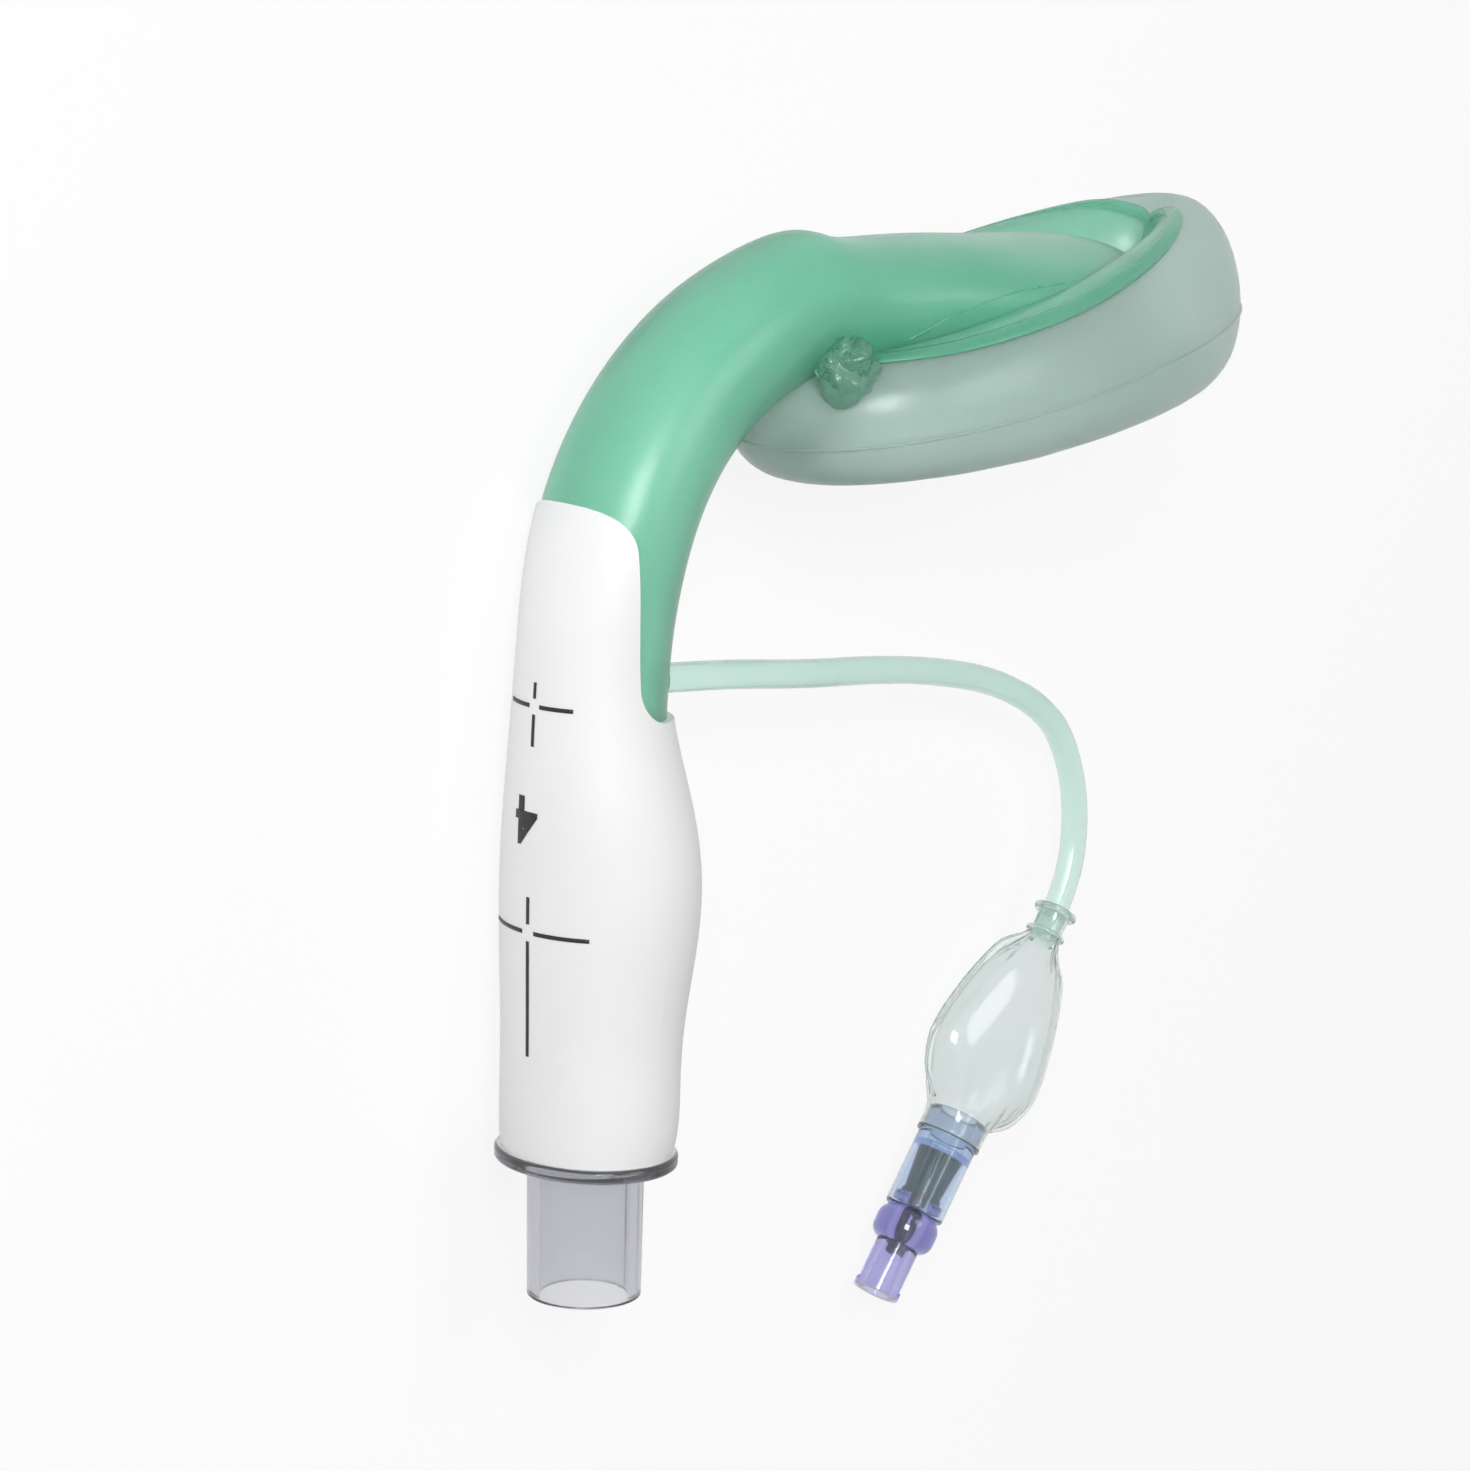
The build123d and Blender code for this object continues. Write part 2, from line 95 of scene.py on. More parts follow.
class Finish:  # a material and the one way that nodes are added to it
    def __init__(self, name):
        self.material = bpy.data.materials.new(name)
        self.material.use_nodes = True
        self.tree = self.material.node_tree
        self.tree.nodes.clear()
        self.output = self.tree.nodes.new("ShaderNodeOutputMaterial")

    def node(self, kind, settings=None, inputs=None, out=0):
        made = self.tree.nodes.new(kind)
        for key, value in (settings or {}).items():
            if key == "stops":
                ramp = made.color_ramp.elements
                while len(ramp) < len(value):
                    ramp.new(0.5)
                for stop, (place, colour) in zip(ramp, value):
                    stop.position, stop.color = place, (*colour, 1)
            else:
                setattr(made, key, value)
        for key, value in (inputs or {}).items():
            if isinstance(value, Value):
                self.tree.links.new(value.socket, made.inputs[key])
            else:
                made.inputs[key].default_value = value
        return Value(self, made.outputs[out])

    def grain(self, scale, detail):
        where = self.node("ShaderNodeTexCoord", out="Object")
        return self.node("ShaderNodeTexNoise", {}, {"Vector": where, "Scale": scale, "Detail": detail})

    def ramp(self, value, stops):
        return self.node("ShaderNodeValToRGB", {"stops": stops}, {0: value})

    def bump(self, height, strength, distance):
        return self.node("ShaderNodeBump", {}, {"Height": height, "Strength": strength, "Distance": distance})

    def close(self, shader, volume=None):
        self.tree.links.new(shader.socket, self.output.inputs["Surface"])
        if volume:
            self.tree.links.new(volume.socket, self.output.inputs["Volume"])
        return self.material


def clearPlastic(name, look):
    made = Finish(name)
    cloud = made.grain(look["cloudScale"], 2.0)
    colour = made.ramp(cloud, [(0.3, look["thin"]), (0.7, look["thick"])])
    rough = made.grain(look["grainScale"], 4.0) * look["roughSpread"] + (look["rough"] - look["roughSpread"] / 2)
    normal = made.bump(made.grain(look["grainScale"], 3.0), look["bump"], 0.0002)
    shader = made.node("ShaderNodeBsdfPrincipled", {}, {
        "Base Color": colour, "Roughness": rough, "Normal": normal, "IOR": look["ior"],
        "Transmission Weight": look["through"],
    })
    if look.get("milk"):  # the cloudy share of a frosted moulding
        body = made.ramp(cloud, [(0.3, look["milkLight"]), (0.7, look["milkDark"])])
        frosted = made.node("ShaderNodeBsdfPrincipled", {}, {
            "Base Color": body, "Roughness": rough, "Normal": normal, "IOR": look["ior"],
            "Subsurface Weight": 0.3, "Subsurface Radius": (0.002, 0.004, 0.003), "Subsurface Scale": 0.5,
        })
        shader = made.node("ShaderNodeMixShader", {}, {0: look["milk"], 1: shader, 2: frosted})
    volume = None
    if look.get("density"):
        depth = {"Color": (*look["inside"], 1), "Density": look["density"]}
        volume = made.node("ShaderNodeVolumeAbsorption", {}, depth)
    return made.close(shader, volume)


# thin and thick tint the surface, inside and density colour the depth, milk is the cloudy share
tubeLook = {
    "cloudScale": 35.0, "grainScale": 900.0, "thin": (0.95, 0.99, 0.97), "thick": (0.90, 0.975, 0.945),
    "rough": 0.30, "roughSpread": 0.06, "bump": 0.12, "ior": 1.42, "through": 0.96,
    "inside": (0.02, 0.66, 0.44), "density": 80.0,
    "milk": 0.34, "milkLight": (0.27, 0.82, 0.58), "milkDark": (0.17, 0.72, 0.48),
}
cuffLook = {
    "cloudScale": 30.0, "grainScale": 700.0, "thin": (0.93, 0.97, 0.96), "thick": (0.88, 0.94, 0.925),
    "rough": 0.30, "roughSpread": 0.05, "bump": 0.10, "ior": 1.40, "through": 0.93,
    "inside": (0.15, 0.60, 0.46), "density": 120.0,
    "milk": 0.24, "milkLight": (0.56, 0.72, 0.67), "milkDark": (0.48, 0.66, 0.60),
}
bandLook = dict(
    tubeLook, rough=0.24, density=150.0, milk=0.45, milkLight=(0.14, 0.62, 0.40), milkDark=(0.09, 0.54, 0.33),
)
bootLook = dict(
    tubeLook, rough=0.14, density=120.0, milk=0.16, milkLight=(0.36, 0.78, 0.58), milkDark=(0.20, 0.66, 0.44),
)
clearLook = {
    "cloudScale": 20.0, "grainScale": 300.0, "thin": (0.90, 0.905, 0.92), "thick": (0.87, 0.875, 0.895),
    "rough": 0.07, "roughSpread": 0.03, "bump": 0.03, "ior": 1.5, "through": 0.95,
    "inside": (0.36, 0.37, 0.44), "density": 170.0,
}
pilotLook = {
    "cloudScale": 40.0, "grainScale": 700.0, "thin": (0.93, 0.975, 0.965), "thick": (0.88, 0.95, 0.935),
    "rough": 0.16, "roughSpread": 0.05, "bump": 0.06, "ior": 1.42, "through": 0.88,
    "inside": (0.40, 0.78, 0.66), "density": 150.0,
}
pouchLook = dict(
    pilotLook, thin=(0.93, 0.955, 0.95), thick=(0.88, 0.92, 0.915), rough=0.12, through=0.92,
    inside=(0.45, 0.66, 0.62), density=160.0,
)
blueLook = dict(
    clearLook, thin=(0.84, 0.90, 0.97), thick=(0.78, 0.86, 0.95), inside=(0.16, 0.36, 0.70), density=190.0,
)
violetLook = dict(
    clearLook, thin=(0.84, 0.83, 0.96), thick=(0.78, 0.77, 0.94), inside=(0.28, 0.27, 0.70), density=230.0,
)


def satinWhite():
    made = Finish("housingWhite")
    cloud = made.grain(60.0, 2.0)
    colour = made.ramp(cloud, [(0.3, (0.83, 0.83, 0.835)), (0.7, (0.86, 0.86, 0.86))])
    fine = made.grain(2500.0, 2.0)
    shader = made.node("ShaderNodeBsdfPrincipled", {}, {
        "Base Color": colour, "Roughness": fine * 0.08 + 0.36, "Normal": made.bump(fine, 0.06, 0.0001), "IOR": 1.48,
        "Subsurface Weight": 0.05, "Subsurface Radius": (0.004, 0.004, 0.004), "Subsurface Scale": 0.3,
    })
    return made.close(shader)


def ink():
    made = Finish("markInk")
    fine = made.grain(3000.0, 2.0)
    colour = made.ramp(fine, [(0.2, (0.006, 0.006, 0.007)), (0.8, (0.016, 0.016, 0.018))])
    shader = made.node("ShaderNodeBsdfPrincipled", {}, {"Base Color": colour, "Roughness": fine * 0.1 + 0.35})
    return made.close(shader)


def solidPlastic(name, dark, light, rough, scale):
    made = Finish(name)
    cloud = made.grain(scale, 3.0)
    colour = made.ramp(cloud, [(0.3, dark), (0.7, light)])
    shader = made.node("ShaderNodeBsdfPrincipled", {}, {
        "Base Color": colour, "Roughness": cloud * 0.12 + rough, "Normal": made.bump(cloud, 0.1, 0.0001),
    })
    return made.close(shader)


materials = {
    "airway_tube": clearPlastic("tubeGreen", tubeLook),
    "cuff": clearPlastic("cuffPale", cuffLook),
    "clear": clearPlastic("connectorClear", clearLook),
    "boot": clearPlastic("inletGreen", bootLook),
    "band": clearPlastic("bandGreen", bandLook),
    "pilot": clearPlastic("pilotPale", pilotLook),
    "pouch": clearPlastic("pouchClear", pouchLook),
    "blue": clearPlastic("barrelBlue", blueLook),
    "violet": clearPlastic("luerViolet", violetLook),
    "housing": satinWhite(),
    "ink": ink(),
    "crown": solidPlastic("crownDark", (0.010, 0.045, 0.038), (0.020, 0.075, 0.062), 0.30, 400.0),
    "stem": solidPlastic("stemOlive", (0.030, 0.042, 0.020), (0.050, 0.066, 0.034), 0.34, 400.0),
}
nodeFinish = {
    "airway_tube": "airway_tube", "bite_housing": "housing", "airway_connector": "clear", "valve_barrel": "blue",
    "luer_port": "violet", "valve_stem": "stem", "valve_spring": "crown", "cuff": "cuff", "cuff_inlet": "cuff",
    "pilot_tube": "pilot", "pilot_balloon": "pilot",
}
for name, finish in nodeFinish.items():
    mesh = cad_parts[name].data
    mesh.materials.clear()
    mesh.materials.append(materials[finish])
print("materials made")

# The airway's own axes as it lies: forward is ventral, along runs to the mask, side is its right
airway = {
    "origin": Vector((-51.63, -50.22, 16.87)),
    "forward": Vector((0.970084, 0.019681, 0.241969)),
    "along": Vector((0.0, 0.996709, -0.081069)),
    "side": Vector((-0.242769, 0.078644, 0.966891)),
}


def inAirway(forward, along, side):
    return airway["origin"] + airway["forward"] * forward + airway["along"] * along + airway["side"] * side


def finishPiece(bm, name, material, smooth=True):
    bmesh.ops.remove_doubles(bm, verts=bm.verts, dist=0.01 * mm)
    bmesh.ops.recalc_face_normals(bm, faces=bm.faces)
    mesh = bpy.data.meshes.new(name)
    for face in bm.faces:
        face.smooth = smooth
    bm.to_mesh(mesh)
    bm.free()
    piece = addObject(name, mesh)
    mesh.materials.append(materials[material])
    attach(piece, "airway")
    return piece


def thicken(piece, name, depth, offset):
    wall = piece.modifiers.new(name, "SOLIDIFY")
    wall.thickness, wall.offset = depth * mm, offset


def stretched(centre, first, second, third):  # from a unit shape to three half axes, in millimetres
    spread = Matrix((first * mm, second * mm, third * mm)).transposed().to_4x4()
    return Matrix.Translation(centre * mm) @ spread


def ringAt(bm, centre, across, upward, segments):  # an oval loop: across and upward are its half axes
    place = stretched(centre, across, upward, across.cross(upward).normalized())
    return bmesh.ops.create_circle(bm, segments=segments, radius=1, matrix=place)["verts"]


def joinRings(bm, rings, closed=False):
    pairs = list(zip(rings, rings[1:])) + ([(rings[-1], rings[0])] if closed else [])
    for first, second in pairs:
        loops = set()
        for ring in (set(first), set(second)):
            loops |= {edge for vert in ring for edge in vert.link_edges if set(edge.verts) <= ring}
        bmesh.ops.bridge_loops(bm, edges=list(loops))


def curveThrough(table, place):  # smooth value through a table of places and values
    places = [row[0] for row in table]
    low = max(i for i, p in enumerate(places[:-1]) if p <= place or i == 0)
    share = min(1.0, max(0.0, (place - places[low]) / (places[low + 1] - places[low])))
    found = []
    for column in range(1, len(table[0])):
        values = [row[column] for row in table]
        before, after = values[max(low - 1, 0)], values[min(low + 2, len(values) - 1)]
        first, second = values[low], values[low + 1]
        slopeIn = (second - before) / 2 if low else second - first
        slopeOut = (after - first) / 2 if low + 2 < len(values) else second - first
        found.append(
            first * (2 * share**3 - 3 * share**2 + 1) + slopeIn * (share**3 - 2 * share**2 + share)
            + second * (3 * share**2 - 2 * share**3) + slopeOut * (share**3 - share**2)
        )
    return found


# Pilot line: the same route as the model, in millimetres
pilotLine = {
    "route": [
        (-43.510, 11.613, 13.879), (-29.957, 10.989, 17.333), (-6.549, 7.159, 17.4), (15.851, 3.759, 14.8),
        (39.451, -0.841, 11.8), (62.851, -6.641, 9.2), (83.251, -14.941, 7.4), (92.951, -23.641, 6.8),
        (96.651, -33.941, 7.4), (93.741, -44.570, 8.651), (88.017, -52.746, 8.023),
    ],
    "radius": 2.0,
    "length": 0.1753,
}
shape = bpy.data.curves.new("pilotLine", "CURVE")
shape.dimensions = "3D"
line = shape.splines.new("NURBS")
line.points.add(len(pilotLine["route"]) - 1)
for point, place in zip(line.points, pilotLine["route"]):
    point.co = (*(Vector(place) * mm), 1)
line.order_u = 3
line.use_endpoint_u = True
line.resolution_u = 12
shape.bevel_depth = pilotLine["radius"] * mm
shape.bevel_resolution = 6
shape.materials.append(materials["pilot"])
pilotCord = addObject("pilotLine", shape)
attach(pilotCord, "airway")
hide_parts("pilot_tube")
print("pilot line laid")

# Cuff: an egg-shaped ring, higher at the tip than at the heel, with a fine parting line
cuffForm = {
    "heel": Vector((-10.698, 59.9236, 18.1886)),
    "axis": Vector((0.955346, 0.192459, 0.224216)),
    "dorsal": Vector((-0.168453, 0.978149, -0.121855)),
    "length": 37.6, "width": 17.1, "egg": 0.15, "centre": 29.4, "drop": 15.0,
    "half": 6.9, "heelHeight": 8.3, "tipHeight": 13.0, "wall": 0.9,
    "stations": 96, "segments": 48, "ripple": 0.10, "rippleScales": (90.0, 260.0),
}
seamForm = {"stations": 140, "lean": -12.0, "radius": 0.22, "segments": 8, "proud": 0.02}
edgeForm = {
    "lean": [  # degrees round the ring from the tip, and up its side
        (0, 132), (20, 118), (40, 94), (65, 74), (95, 64), (125, 68), (150, 82), (180, 96),
    ],
    "inner": 183.0, "stations": 180, "rows": 16, "lift": 0.06, "thick": 0.35,
    "webFrom": 0.9, "webReach": 40.0, "webWide": 5.0,
    "bandWide": 1.25, "bandDeep": 0.42, "bandLift": 0.12, "bandTilt": 3.0, "bandSegments": 12,
}


def cuffStation(turn):  # centre, outward direction and half height; turn is 0 at the tip
    form = cuffForm
    swell = 1 - form["egg"] * math.cos(turn)
    centre = form["heel"] + form["axis"] * (form["centre"] + form["length"] * math.cos(turn))
    centre = centre - form["dorsal"] * form["drop"] + airway["side"] * (form["width"] * swell * math.sin(turn))
    ahead = form["axis"] * (-form["length"] * math.sin(turn))
    ahead = ahead + airway["side"] * (form["width"] * (swell * math.cos(turn) + form["egg"] * math.sin(turn) ** 2))
    height = form["heelHeight"] + (form["tipHeight"] - form["heelHeight"]) * (1 + math.cos(turn)) / 2
    outward = form["dorsal"].cross(ahead.normalized()).normalized()
    return centre, outward, height


def makeCuff():
    bm = bmesh.new()
    form = cuffForm
    rings = []
    for step in range(form["stations"]):
        centre, outward, height = cuffStation(2 * math.pi * step / form["stations"])
        rings.append(ringAt(bm, centre, outward * form["half"], form["dorsal"] * height, form["segments"]))
    joinRings(bm, rings, closed=True)
    bm.normal_update()
    for vert in bm.verts:
        coarse, fine = form["rippleScales"]
        wave = noise.noise(vert.co * coarse) + 0.5 * noise.noise(vert.co * fine)
        vert.co += vert.normal * wave * form["ripple"] * mm
    piece = finishPiece(bm, "cuffRing", "cuff")
    thicken(piece, "wall", form["wall"], -1)
    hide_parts("cuff")
    return piece


def makeCuffSeam():
    bm = bmesh.new()
    form = seamForm
    lean = math.radians(form["lean"])
    rings = []
    for step in range(form["stations"]):
        centre, outward, height = cuffStation(2 * math.pi * step / form["stations"])
        place = centre + outward * (cuffForm["half"] * math.cos(lean) + form["proud"])
        place = place + cuffForm["dorsal"] * (height * math.sin(lean))
        radius = form["radius"]
        rings.append(ringAt(bm, place, outward * radius, cuffForm["dorsal"] * radius, form["segments"]))
    joinRings(bm, rings, closed=True)
    return finishPiece(bm, "cuffSeam", "cuff")


def ringPlace(turn, lean, lift=0.0):  # on the cuff's surface: degrees round the ring and up from its outside
    centre, outward, height = cuffStation(math.radians(turn))
    lean = math.radians(lean)
    side, rise = outward * math.cos(lean), cuffForm["dorsal"] * math.sin(lean)
    return centre + side * (cuffForm["half"] + lift) + rise * (height + lift)


def makeBowlEdge():  # edge of the bowl, bonded along the back of the cuff
    bm = bmesh.new()
    form = edgeForm
    grid = bmesh.ops.create_grid(bm, x_segments=form["stations"], y_segments=form["rows"], size=0.5)
    for vert in grid["verts"]:
        turn, share = 360 * vert.co.x, vert.co.y + 0.5
        edge = curveThrough(form["lean"], abs(turn))[0]
        place = ringPlace(turn, edge + (form["inner"] - edge) * share, form["lift"])
        if share > form["webFrom"]:  # web across to the bowl's tip
            near = max(0.0, 1 - abs(turn) / form["webReach"])
            reach = form["webWide"] * near * (share - form["webFrom"]) / (1 - form["webFrom"])
            place = place - cuffStation(math.radians(turn))[1] * reach
        vert.co = place * mm
    piece = finishPiece(bm, "bowlEdge", "airway_tube")
    thicken(piece, "thick", form["thick"], 1)
    return piece


def makeEdgeBand():  # thicker green rim along that edge
    bm = bmesh.new()
    form = edgeForm
    rings = []
    for step in range(form["stations"]):
        turn = 360 * step / form["stations"] - 180
        lean = curveThrough(form["lean"], abs(turn))[0]
        along = ringPlace(turn, lean + form["bandTilt"]) - ringPlace(turn, lean - form["bandTilt"])
        outward = ringPlace(turn, lean, 1.0) - ringPlace(turn, lean)
        wide, deep = along.normalized() * form["bandWide"], outward.normalized() * form["bandDeep"]
        rings.append(ringAt(bm, ringPlace(turn, lean, form["bandLift"]), wide, deep, form["bandSegments"]))
    joinRings(bm, rings, closed=True)
    return finishPiece(bm, "edgeBand", "band")


def surfaceTree(node):
    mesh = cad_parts[node].data
    return BVHTree.FromPolygons([v.co for v in mesh.vertices], [p.vertices for p in mesh.polygons])


def closeEnds(bm, rings):
    for ring in (rings[0], rings[-1]):
        bmesh.ops.contextual_create(bm, geom=ring)


def threadThrough(bm, places, radius, segments):  # a fine rib through places given in millimetres
    perSpan = 8
    table = [(i, *point) for i, point in enumerate(places)]
    spans = range(len(places) - 1)
    steps = [Vector(curveThrough(table, low + step / perSpan)) for low in spans for step in range(perSpan)]
    steps.append(Vector(places[-1]))
    rings = []
    across = (steps[1] - steps[0]).orthogonal()
    for before, here, after in zip(steps[:1] + steps[:-1], steps, steps[1:] + steps[-1:]):
        ahead = (after - before).normalized()
        across = (across - ahead * across.dot(ahead)).normalized()
        rings.append(ringAt(bm, here, across * radius, ahead.cross(across) * radius, segments))
    joinRings(bm, rings)
    closeEnds(bm, rings)


# Moulded line on the bowl's flank: places along the mask and dorsal of its heel
flankForm = {
    "line": [(-3, -9.0), (3, -5.5), (10, -3.4), (19, -2.6), (28, -3.4), (35, -5.2), (39, -7.5)],
    "radius": 0.11, "segments": 8, "reach": 40.0,
}


def makeFlankLine():
    tree = surfaceTree("airway_tube")
    places = []
    for ahead, up in flankForm["line"]:
        start = cuffForm["heel"] + cuffForm["axis"] * ahead + cuffForm["dorsal"] * up
        hit = tree.ray_cast((start + airway["side"] * flankForm["reach"]) * mm, -airway["side"])
        if hit[0]:
            places.append(hit[0] / mm)
    bm = bmesh.new()
    threadThrough(bm, places, flankForm["radius"], flankForm["segments"])
    return finishPiece(bm, "flankLine", "band")


for make in (makeCuff, makeCuffSeam, makeBowlEdge, makeEdgeBand, makeFlankLine):
    make()
print("cuff made")

# Inlet: crumpled boot between the tube's flank and the cuff
inletForm = {
    "along": -8.5, "drop": 6.6, "side": 10.6, "half": (4.4, 3.0, 3.8),
    "crumple": 2.0, "folds": 300.0, "fineShare": 0.35, "fineFolds": 2.6,
}


def makeInlet():
    bm = bmesh.new()
    form = inletForm
    centre = cuffForm["heel"] + cuffForm["axis"] * form["along"] - cuffForm["dorsal"] * form["drop"]
    centre = centre + airway["side"] * form["side"]
    long, wide, deep = form["half"]
    place = stretched(centre, cuffForm["axis"] * long, airway["side"] * wide, cuffForm["dorsal"] * deep)
    bmesh.ops.create_icosphere(bm, subdivisions=5, radius=1, matrix=place)
    bm.normal_update()
    for vert in bm.verts:
        fine = abs(noise.noise(vert.co * form["folds"] * form["fineFolds"]))
        fold = abs(noise.noise(vert.co * form["folds"])) + form["fineShare"] * fine
        vert.co -= vert.normal * fold * form["crumple"] * mm
    piece = finishPiece(bm, "inletBoot", "boot")
    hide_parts("cuff_inlet")
    return piece


makeInlet()
print("inlet made")

# Balloon: a pouch with a sleeve at each end and a welded rim
balloonForm = {
    "neck": Vector((91.4513, -47.8406, 8.4)),
    "ahead": Vector((-0.572445, -0.817536, -0.062791)),
    "roll": 20.0,
    "outline": [  # place, half width, half depth
        (0.0, 2.6, 2.6), (4.5, 2.6, 2.6), (10.4, 7.2, 4.1), (18.4, 10.2, 5.0), (27.2, 11.6, 5.3),
        (32.8, 9.3, 5.3), (36.4, 5.4, 5.1), (40.0, 5.1, 5.1),
    ],
    "length": 40.0, "wall": 0.35, "stations": 72, "segments": 64,
    "pouch": (4.6, 36.2), "pucker": 0.55,
    "gathers": [(8.5, 3.0, 1.0), (32.5, 3.6, 1.15)],  # place, spread, share
    "pleats": (3.1, 0.11), "pleatDeep": 2.0, "dents": (0.16, 0.7, 4.0), "dentDeep": 0.7,
}
level = balloonForm["ahead"].cross(Vector((0, 0, 1))).normalized()
rolled = Matrix.Rotation(math.radians(balloonForm["roll"]), 3, balloonForm["ahead"])
balloonSide = rolled @ level
balloonUp = balloonForm["ahead"].cross(balloonSide).normalized()


def balloonPlace(place):
    return balloonForm["neck"] + balloonForm["ahead"] * place


def makeBalloon():
    bm = bmesh.new()
    form = balloonForm
    rings = []
    for step in range(form["stations"] + 1):
        place = form["length"] * step / form["stations"]
        wide, deep = curveThrough(form["outline"], place)
        rings.append(ringAt(bm, balloonPlace(place), balloonSide * wide, balloonUp * deep, form["segments"]))
    joinRings(bm, rings)
    bm.normal_update()
    for vert in bm.verts:
        local = vert.co / mm - form["neck"]
        place = local.dot(form["ahead"])
        turn = math.atan2(local.dot(balloonUp), local.dot(balloonSide))
        if not form["pouch"][0] < place < form["pouch"][1]:
            continue
        near = sum(share * math.exp(-(((place - middle) / spread) ** 2)) for middle, spread, share in form["gathers"])
        about, along = form["pleats"]
        pleat = noise.noise(Vector((math.cos(turn) * about, math.sin(turn) * about, place * along)))
        along, about, layer = form["dents"]
        dent = max(0.0, noise.noise(Vector((place * along, turn * about, layer)))) * form["dentDeep"]
        vert.co -= vert.normal * (near * abs(pleat) * form["pleatDeep"] + dent) * form["pucker"] * mm
    piece = finishPiece(bm, "balloonPouch", "pouch")
    thicken(piece, "wall", form["wall"], -1)
    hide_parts("pilot_balloon")
    return piece


rimForm = {
    "start": 5.5, "length": 30.0, "steps": 30, "out": 0.7, "thick": 0.30, "seat": 0.6, "segments": 10,
    "reach": 0.4, "endShare": 0.35, "fadeSteps": 4,
}


def makeRim():  # one welded edge down each side of the pouch
    bm = bmesh.new()
    form = rimForm
    for hand in (1, -1):
        rings = []
        for step in range(form["steps"] + 1):
            place = form["start"] + form["length"] * step / form["steps"]
            before, wide, after = [
                curveThrough(balloonForm["outline"], place + reach)[0] for reach in (-form["reach"], 0, form["reach"])
            ]
            slope = (after - before) / (2 * form["reach"])
            outward = (balloonSide * hand - balloonForm["ahead"] * slope).normalized()
            near = min(step, form["steps"] - step) / form["fadeSteps"]
            out = form["out"] * min(1.0, form["endShare"] + (1 - form["endShare"]) * near)
            centre = balloonPlace(place) + balloonSide * (wide * hand) + outward * (out * form["seat"])
            rings.append(ringAt(bm, centre, outward * out, balloonUp * form["thick"], form["segments"]))
        joinRings(bm, rings)
        closeEnds(bm, rings)
    return finishPiece(bm, "balloonRim", "pouch")


beadForm = {
    "beads": [(0.5, 3.0, 0.55), (4.3, 2.85, 0.4)],  # place, radius, half length
    "turns": 12, "segments": 40, "proud": 0.8,
}


def makeNeck():  # bead where the line enters, and the ring of the line's end inside the pouch
    bm = bmesh.new()
    form = beadForm
    for place, out, ahead in form["beads"]:
        rings = []
        for step in range(form["turns"] + 1):
            swing = 2 * math.pi * step / form["turns"]
            size = out + ahead * form["proud"] * math.cos(swing)
            centre = balloonPlace(place + ahead * math.sin(swing))
            rings.append(ringAt(bm, centre, balloonSide * size, balloonUp * size, form["segments"]))
        joinRings(bm, rings)
    return finishPiece(bm, "balloonNeckBeads", "pilot")


crownForm = {"foot": 42.8, "height": 6.8, "travel": 1.2}


def makeCrown():  # the fluted rubber crown, copied from the model's valve spring
    bm = bmesh.new()
    bm.from_mesh(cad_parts["valve_spring"].data)
    piece = finishPiece(bm, "valveCrown", "crown", smooth=False)
    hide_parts("valve_spring")
    foot = balloonPlace(crownForm["foot"]) * mm
    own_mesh(piece)
    return piece


balloonPouch, balloonRim, balloonBeads = makeBalloon(), makeRim(), makeNeck()
valveCrown = makeCrown()
print("balloon made")

# Marks: thin black lines and a plain figure on the back of the housing
markSet = {
    "width": 0.55, "lift": 0.06, "thick": 0.04, "step": 0.5, "wrap": 10.8, "reach": 30.0,
    "upper": {"centre": 60.7, "above": (61.7, 63.8), "below": (55.4, 59.6), "side": (1.0, 6.4)},
    "lower": {"centre": 30.8, "above": (31.9, 35.5), "below": (14.1, 29.6), "side": (1.1, 9.0)},
    "figure": {"place": 45.9, "side": -0.9, "height": 6.4, "capHeight": 0.73, "bolder": 0.022, "cuts": 3},
}
housingTree = surfaceTree("bite_housing")


def layOnHousing(bm):  # x wraps round the back of the housing, y runs along it, both in millimetres
    for vert in bm.verts:
        turn = vert.co.x / markSet["wrap"]
        outward = airway["forward"] * -math.cos(turn) + airway["side"] * math.sin(turn)
        start = (inAirway(0, vert.co.y, 0) + outward * markSet["reach"]) * mm
        place = housingTree.ray_cast(start, -outward)[0]
        vert.co = place + outward * (vert.co.z + markSet["lift"]) * mm


def printPiece(bm, name):
    layOnHousing(bm)
    thicken(finishPiece(bm, name, "ink"), "thick", markSet["thick"], 0)


def makeStroke(bm, low, high, alongAt=None):  # along the housing, or across it at the place given
    half, middle, width = (high - low) / 2, (low + high) / 2, markSet["width"] / 2
    steps = max(4, int((high - low) / markSet["step"]))
    if alongAt is None:
        place, size, cuts = (0, middle, 0), (width, half, 1, 1), (1, steps)
    else:
        place, size, cuts = (middle, alongAt, 0), (half, width, 1, 1), (steps, 1)
    spread = Matrix.Translation(place) @ Matrix.Diagonal(size)
    bmesh.ops.create_grid(bm, x_segments=cuts[0], y_segments=cuts[1], size=1, matrix=spread)


def makeMark(name, mark):
    bm = bmesh.new()
    makeStroke(bm, *mark["below"])
    makeStroke(bm, *mark["above"])
    low, high = mark["side"]
    makeStroke(bm, low, high, mark["centre"])
    makeStroke(bm, -high, -low, mark["centre"])
    printPiece(bm, name)


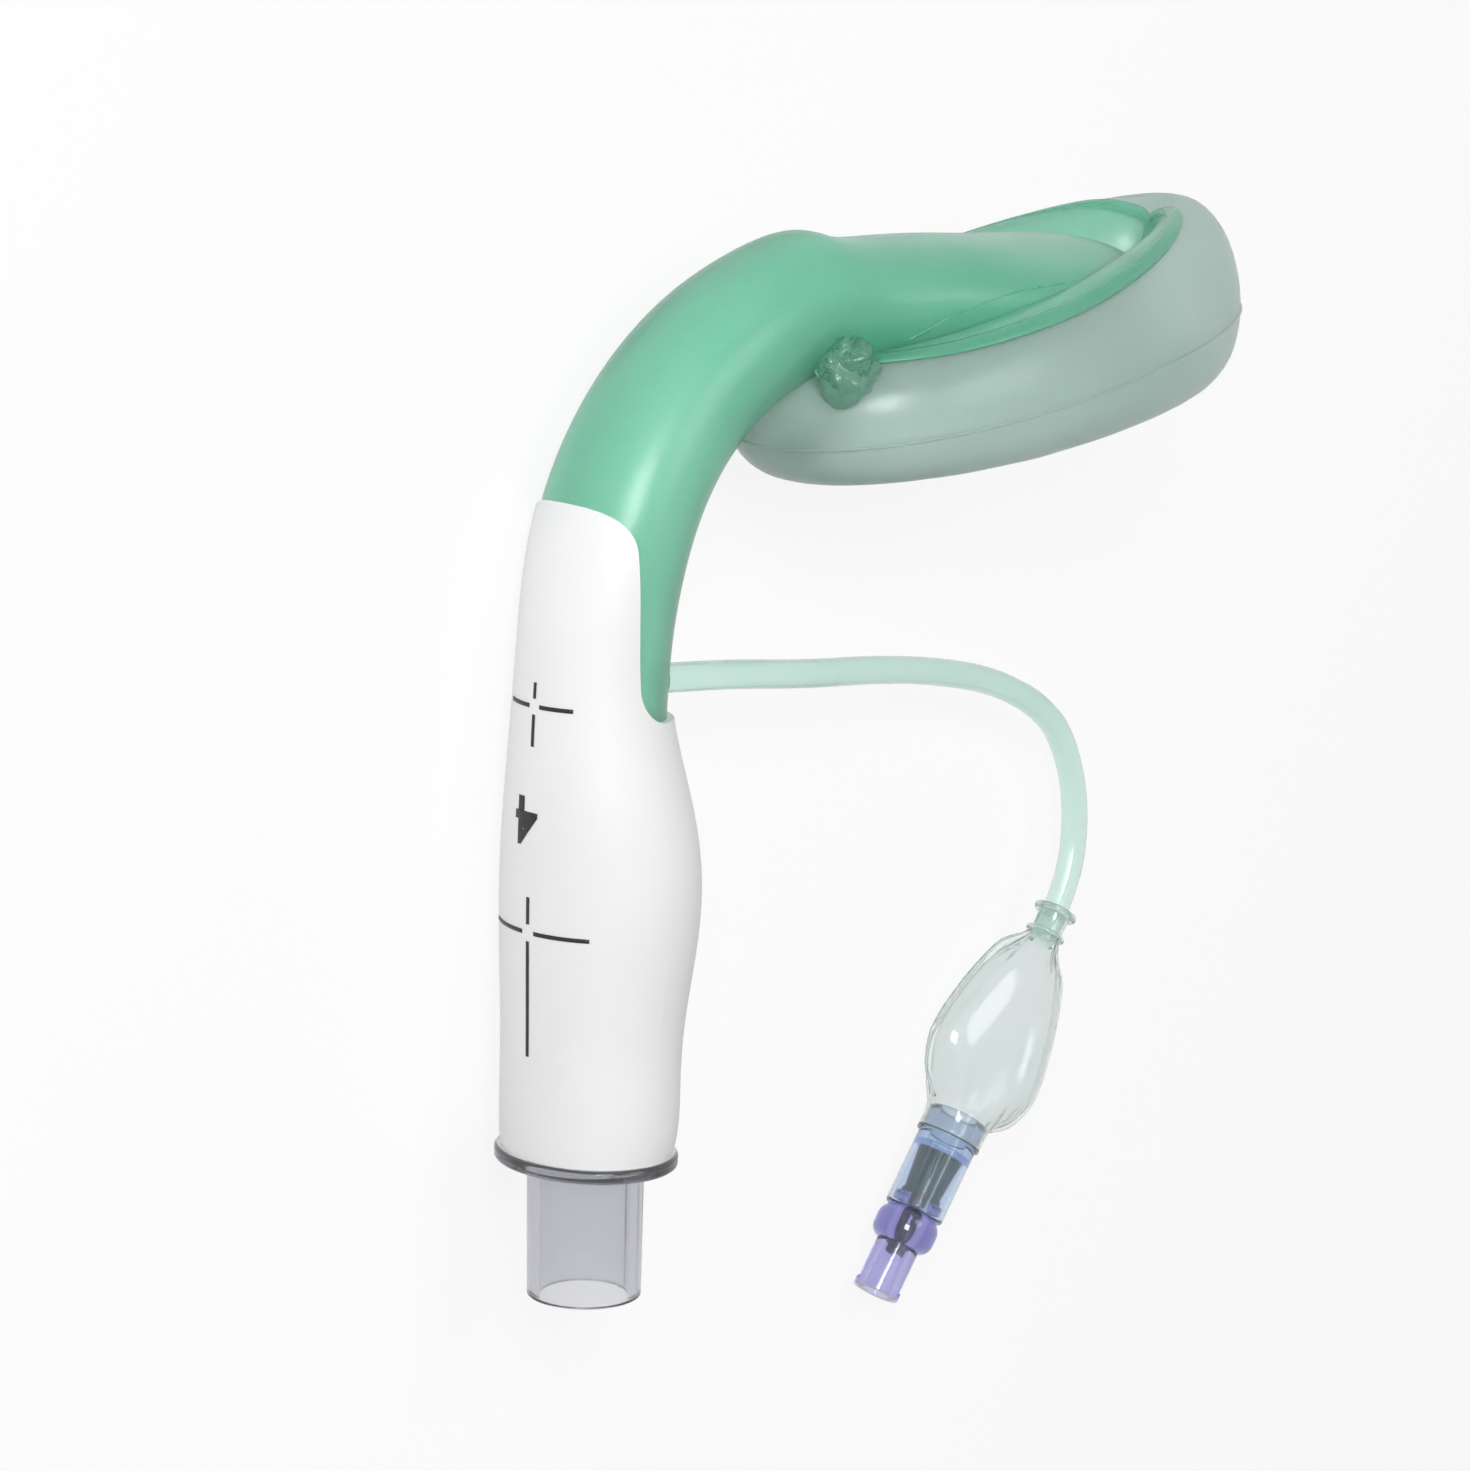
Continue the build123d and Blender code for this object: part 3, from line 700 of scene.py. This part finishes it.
def makeFigure():
    figure = markSet["figure"]
    letters = bpy.data.curves.new("sizeFigure", "FONT")
    letters.body, letters.size = "4", 1.0
    letters.align_x, letters.align_y = "CENTER", "CENTER"
    letters.offset = figure["bolder"]
    flat = addObject("flatFigure", letters)
    bpy.context.view_layer.update()
    source = bpy.data.meshes.new_from_object(flat.evaluated_get(bpy.context.evaluated_depsgraph_get()))
    bpy.data.objects.remove(flat)
    bm = bmesh.new()
    bm.from_mesh(source)
    bmesh.ops.triangulate(bm, faces=bm.faces)
    bmesh.ops.subdivide_edges(bm, edges=bm.edges, cuts=figure["cuts"], use_grid_fill=True)
    scale = figure["height"] / figure["capHeight"]
    bmesh.ops.rotate(bm, verts=bm.verts, cent=(0, 0, 0), matrix=Matrix.Rotation(math.pi, 3, "Z"))
    bmesh.ops.scale(bm, verts=bm.verts, vec=(scale, scale, 1))
    bmesh.ops.translate(bm, verts=bm.verts, vec=(figure["side"], figure["place"], 0))
    printPiece(bm, "sizeFigure")


makeMark("markUpper", markSet["upper"])
makeMark("markLower", markSet["lower"])
makeFigure()
print("marks laid")

# Table and light
stageSet = {
    "half": 3.0, "floor": (0.97, 0.97, 0.97), "lift": 0.88, "aim": (0, 0, 0.02),
    "lamps": [("keyLamp", (-0.66, 0.40, 0.52), 0.30, 5.3), ("topLamp", (-0.05, 0.50, 0.95), 0.50, 3.0)],
    "sky": (0.18, 0.95),  # strength as light on the part, and as seen
}


def makeFloor():
    bm = bmesh.new()
    bmesh.ops.create_grid(bm, x_segments=1, y_segments=1, size=stageSet["half"])
    mesh = bpy.data.meshes.new("table")
    bm.to_mesh(mesh)
    bm.free()
    floor = addObject("table", mesh)
    made = Finish("tableWhite")
    dull = made.node("ShaderNodeBsdfDiffuse", {}, {"Color": (*stageSet["floor"], 1)})
    glow = made.node("ShaderNodeEmission", {}, {"Color": (1, 1, 1, 1), "Strength": 1.0})
    paths = made.node("ShaderNodeLightPath", out="Is Camera Ray")
    glossy = made.node("ShaderNodeLightPath", out="Is Glossy Ray")
    through = made.node("ShaderNodeLightPath", out="Is Transmission Ray")
    share = paths.top(glossy.top(through)) * stageSet["lift"]
    mesh.materials.append(made.close(made.node("ShaderNodeMixShader", {}, {0: share, 1: dull, 2: glow})))


def softLamp(name, place, size, power):
    lamp = bpy.data.lights.new(name, "AREA")
    lamp.shape, lamp.size, lamp.energy = "SQUARE", size, power
    holder = addObject(name, lamp)
    holder.location = place
    holder.rotation_euler = (Vector(place) - Vector(stageSet["aim"])).to_track_quat("Z", "Y").to_euler()


def makeSky():  # white to the eye and in reflections, dimmer as a light
    world = bpy.data.worlds.new("studio")
    world.use_nodes = True
    nodes, links = world.node_tree.nodes, world.node_tree.links
    nodes.clear()
    rays = nodes.new("ShaderNodeLightPath")
    seen, both = nodes.new("ShaderNodeMath"), nodes.new("ShaderNodeMath")
    seen.operation = both.operation = "MAXIMUM"
    links.new(rays.outputs["Is Camera Ray"], seen.inputs[0])
    links.new(rays.outputs["Is Glossy Ray"], seen.inputs[1])
    links.new(seen.outputs[0], both.inputs[0])
    links.new(rays.outputs["Is Transmission Ray"], both.inputs[1])
    strength = nodes.new("ShaderNodeMapRange")
    strength.inputs["To Min"].default_value, strength.inputs["To Max"].default_value = stageSet["sky"]
    links.new(both.outputs[0], strength.inputs["Value"])
    white = nodes.new("ShaderNodeBackground")
    white.inputs["Color"].default_value = (1, 1, 1, 1)
    links.new(strength.outputs["Result"], white.inputs["Strength"])
    links.new(white.outputs[0], nodes.new("ShaderNodeOutputWorld").inputs["Surface"])
    bpy.context.scene.world = world


makeFloor()
for lampRow in stageSet["lamps"]:
    softLamp(*lampRow)
makeSky()
bpy.context.scene.view_settings.view_transform = "Standard"
print("stage lit")
